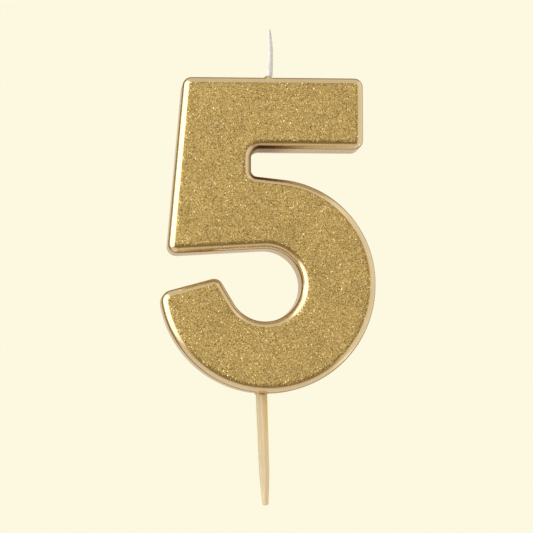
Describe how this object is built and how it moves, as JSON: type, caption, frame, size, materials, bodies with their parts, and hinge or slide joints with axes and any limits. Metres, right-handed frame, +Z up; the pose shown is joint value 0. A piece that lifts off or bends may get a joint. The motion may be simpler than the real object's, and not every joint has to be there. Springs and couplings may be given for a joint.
{
  "type": "number candle",
  "caption": "Flat numeral five birthday candle in glittering gold, with a short waxed wick on top and a wooden pick to push into a cake.",
  "frame": {"origin": "where the pick leaves the underside of the numeral, on the surface of the cake", "axes": "+Z up along the candle's height, +X to the right of the numeral as read, and the face looks along -Y"},
  "size_m": [0.048, 0.01, 0.1071],
  "materials": {
    "wax": "cast candle wax, warm ivory, slightly translucent",
    "gold_lacquer": "smooth gold metallic lacquer, glossy",
    "gold_glitter": "fine gold glitter under clear gloss",
    "cotton": "braided cotton",
    "wick_wax": "thin translucent white wax",
    "bamboo": "turned bamboo, bare, satin"
  },
  "bodies": {
    "root": {"wax_core": "wax", "gold_coat": "gold_lacquer", "glitter_face": "gold_glitter", "wick_braid": "cotton", "wick_wax": "wick_wax", "wick_bead": "gold_lacquer", "pick": "bamboo", "pick_collar": "gold_lacquer"}
  },
  "joints": []
}
